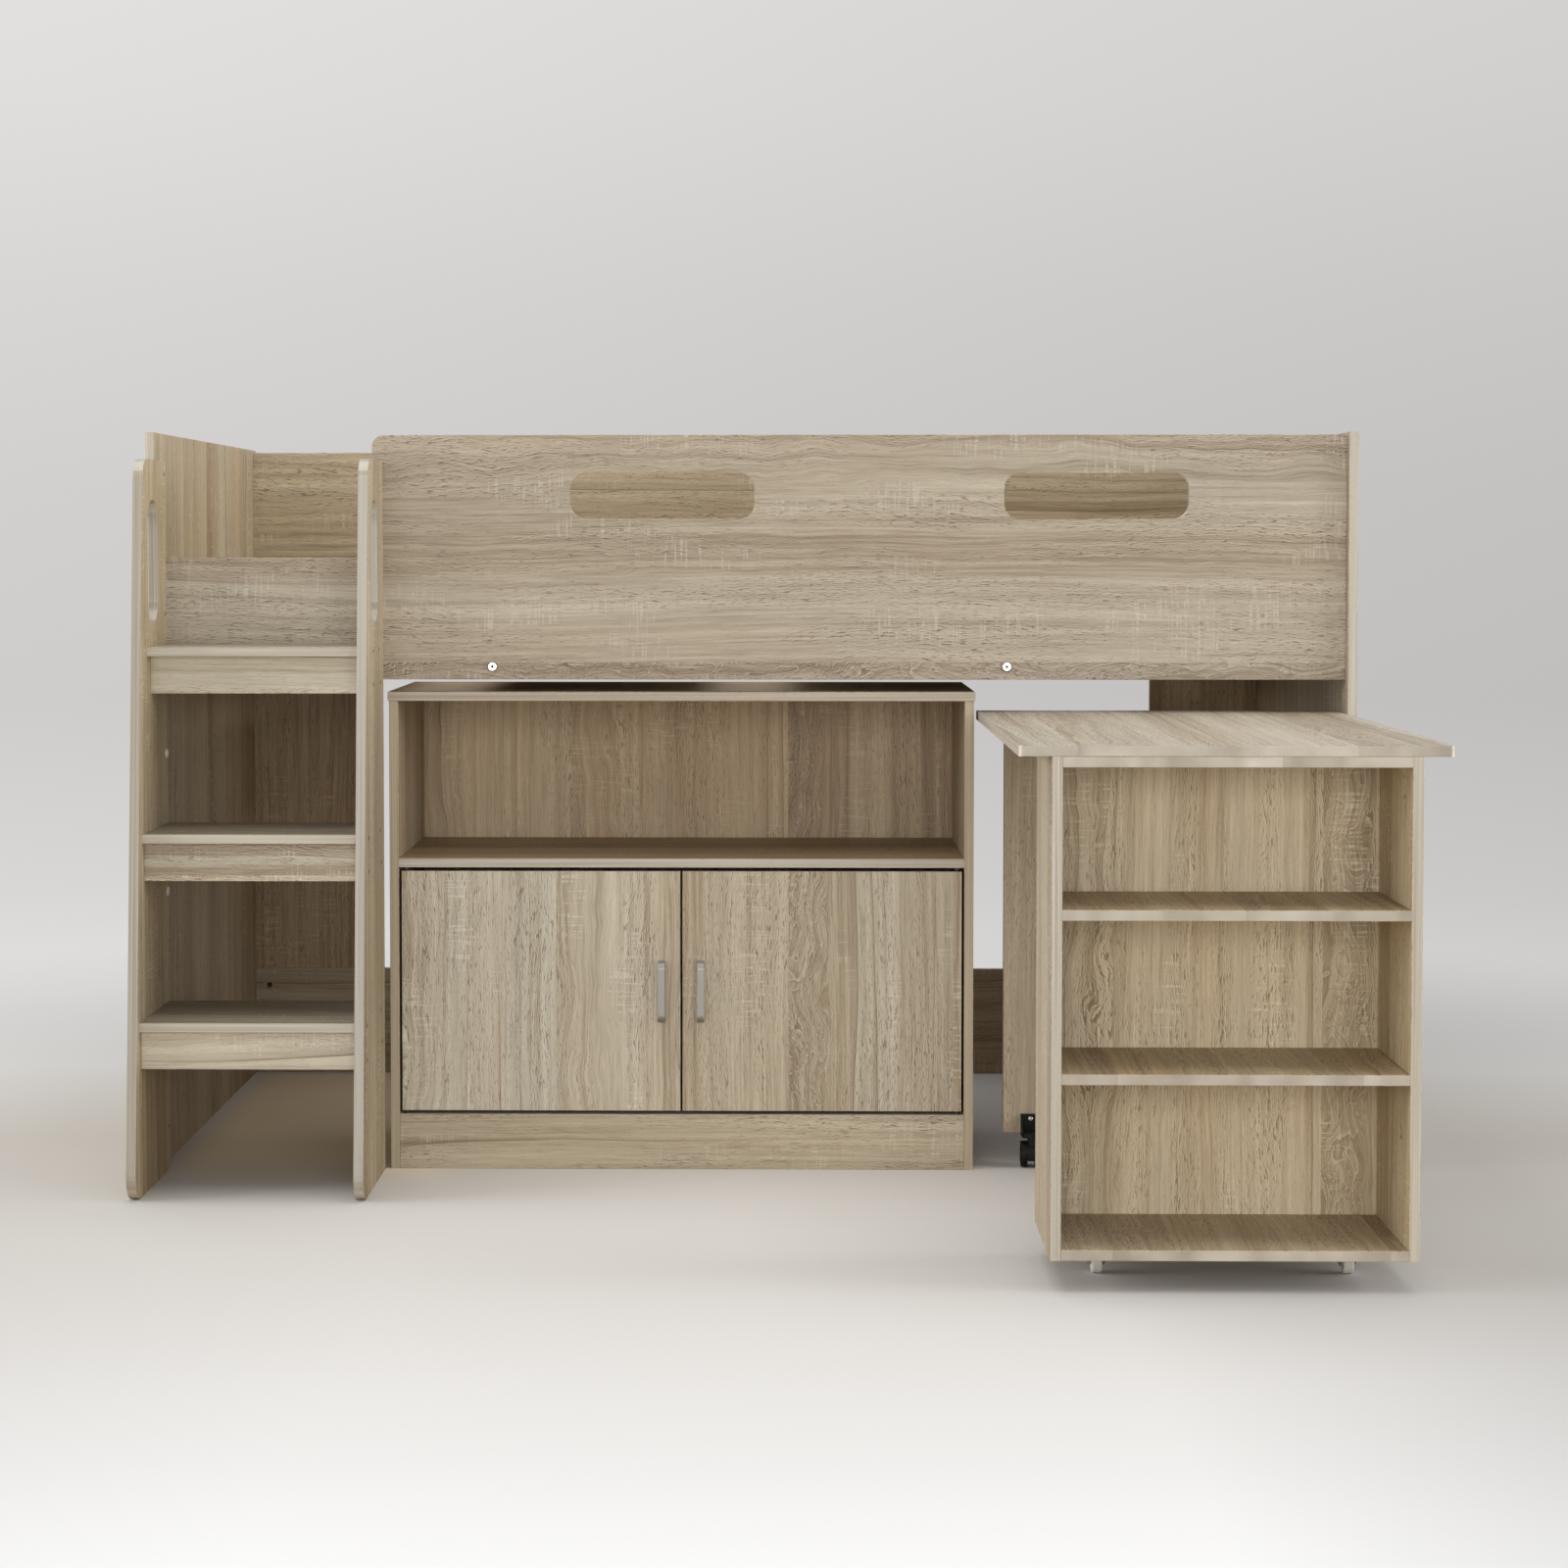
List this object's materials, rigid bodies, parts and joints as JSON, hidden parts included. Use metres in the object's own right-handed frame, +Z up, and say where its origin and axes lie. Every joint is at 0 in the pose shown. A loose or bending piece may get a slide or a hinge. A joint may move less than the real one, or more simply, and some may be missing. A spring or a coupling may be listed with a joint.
{
  "type": "cabin bed",
  "caption": "Mid-height cabin bed with a raked ladder, slotted guard board, slatted base, a free-standing cupboard with doors under it, and a desk with bookcase that rolls out on castors.",
  "frame": {"origin": "middle of the footprint on the floor, with the desk rolled out as in the picture", "axes": "+X to the right along the bed, +Y from the open front to the back, +Z up"},
  "size_m": [1.96, 1.805, 1.203],
  "materials": {
    "oak_laminate": "matt light greyish oak laminate on chipboard, with lighter edge bands",
    "thin_back_board": "matt oak-print thin fibreboard",
    "pine": "plain planed softwood",
    "steel_fittings": "bright zinc-plated steel",
    "dark_steel": "dark oxide steel",
    "satin_metal": "satin grey",
    "zinc": "zinc-plated steel",
    "grey_wheel": "satin pale grey",
    "black_plastic": "satin black",
    "nylon": "natural nylon"
  },
  "bodies": {
    "bed": {"end_panel_left": "oak_laminate", "end_panel_right": "oak_laminate", "front_panel": "oak_laminate", "rear_board": "oak_laminate", "rear_corner_panel_left": "oak_laminate", "rear_corner_panel_right": "oak_laminate", "rear_bottom_rail": "oak_laminate", "ladder_stile_left": "oak_laminate", "ladder_stile_right": "oak_laminate", "ladder_tread_lower": "oak_laminate", "ladder_tread_middle": "oak_laminate", "ladder_tread_upper": "oak_laminate", "ladder_riser_lower": "oak_laminate", "ladder_riser_middle": "oak_laminate", "ladder_riser_upper": "oak_laminate", "ladder_apron_lower": "oak_laminate", "ladder_apron_middle": "oak_laminate", "ladder_apron_upper": "oak_laminate", "cupboard_side_left": "oak_laminate", "cupboard_side_right": "oak_laminate", "cupboard_top": "oak_laminate", "cupboard_shelf": "oak_laminate", "cupboard_bottom": "oak_laminate", "cupboard_plinth": "oak_laminate", "bed_slats": "oak_laminate", "cupboard_back": "thin_back_board", "slat_battens": "pine", "tie_beams": "pine", "connector_bolts": "steel_fittings", "barrel_nuts": "steel_fittings", "ladder_bolts": "steel_fittings", "ladder_screws": "dark_steel", "cam_locks": "dark_steel", "pivot_bushes": "nylon"},
    "desk": {"desk_top": "oak_laminate", "bookcase_side_left": "oak_laminate", "bookcase_side_right": "oak_laminate", "bookcase_top": "oak_laminate", "bookcase_shelf_upper": "oak_laminate", "bookcase_shelf_lower": "oak_laminate", "bookcase_bottom": "oak_laminate", "bookcase_back": "oak_laminate", "desk_leg_panel": "oak_laminate", "desk_stretcher": "oak_laminate", "front_castor_plates": "zinc", "rear_castor_brackets": "black_plastic"},
    "door_left": {"door_left": "oak_laminate", "door_pins_left": "steel_fittings", "door_handle_left": "satin_metal"},
    "door_right": {"door_right": "oak_laminate", "door_pins_right": "steel_fittings", "door_handle_right": "satin_metal"},
    "front_castor_left": {"front_castor_fork_left": "zinc"},
    "front_castor_right": {"front_castor_fork_right": "zinc"},
    "front_wheel_left": {"front_castor_wheel_left": "grey_wheel"},
    "front_wheel_right": {"front_castor_wheel_right": "grey_wheel"},
    "rear_castor_left": {"rear_castor_hood_left": "black_plastic"},
    "rear_castor_right": {"rear_castor_hood_right": "black_plastic"},
    "rear_wheels_left": {"rear_castor_wheels_left": "black_plastic"},
    "rear_wheels_right": {"rear_castor_wheels_right": "black_plastic"}
  },
  "joints": [
    {"name": "desk_slide", "type": "slide", "parent": "bed", "child": "desk", "axis": [0, 1, 0], "range_m": [-0.1, 0.865]},
    {"name": "door_left_hinge", "type": "hinge", "parent": "bed", "child": "door_left", "pos_m": [-0.5613, -0.055, 0.09], "axis": [0, 0, -1], "range_deg": [0, 95]},
    {"name": "door_right_hinge", "type": "hinge", "parent": "bed", "child": "door_right", "pos_m": [0.3373, -0.055, 0.09], "axis": [0, 0, 1], "range_deg": [0, 95]},
    {"name": "front_castor_left_swivel", "type": "hinge", "parent": "desk", "child": "front_castor_left", "pos_m": [0.4924, -0.7895, 0.038], "axis": [0, 0, 1], "continuous": true},
    {"name": "front_wheel_left_spin", "type": "hinge", "parent": "front_castor_left", "child": "front_wheel_left", "pos_m": [0.4924, -0.7775, 0.017], "axis": [1, 0, 0], "continuous": true},
    {"name": "front_castor_right_swivel", "type": "hinge", "parent": "desk", "child": "front_castor_right", "pos_m": [0.8434, -0.7895, 0.038], "axis": [0, 0, 1], "continuous": true},
    {"name": "front_wheel_right_spin", "type": "hinge", "parent": "front_castor_right", "child": "front_wheel_right", "pos_m": [0.8434, -0.7775, 0.017], "axis": [1, 0, 0], "continuous": true},
    {"name": "rear_castor_left_swivel", "type": "hinge", "parent": "desk", "child": "rear_castor_left", "pos_m": [0.4614, -0.0435, 0.048], "axis": [0, 0, 1], "continuous": true},
    {"name": "rear_wheels_left_spin", "type": "hinge", "parent": "rear_castor_left", "child": "rear_wheels_left", "pos_m": [0.4614, -0.0335, 0.02], "axis": [1, 0, 0], "continuous": true},
    {"name": "rear_castor_right_swivel", "type": "hinge", "parent": "desk", "child": "rear_castor_right", "pos_m": [0.8744, -0.0435, 0.048], "axis": [0, 0, 1], "continuous": true},
    {"name": "rear_wheels_right_spin", "type": "hinge", "parent": "rear_castor_right", "child": "rear_wheels_right", "pos_m": [0.8744, -0.0335, 0.02], "axis": [1, 0, 0], "continuous": true}
  ]
}
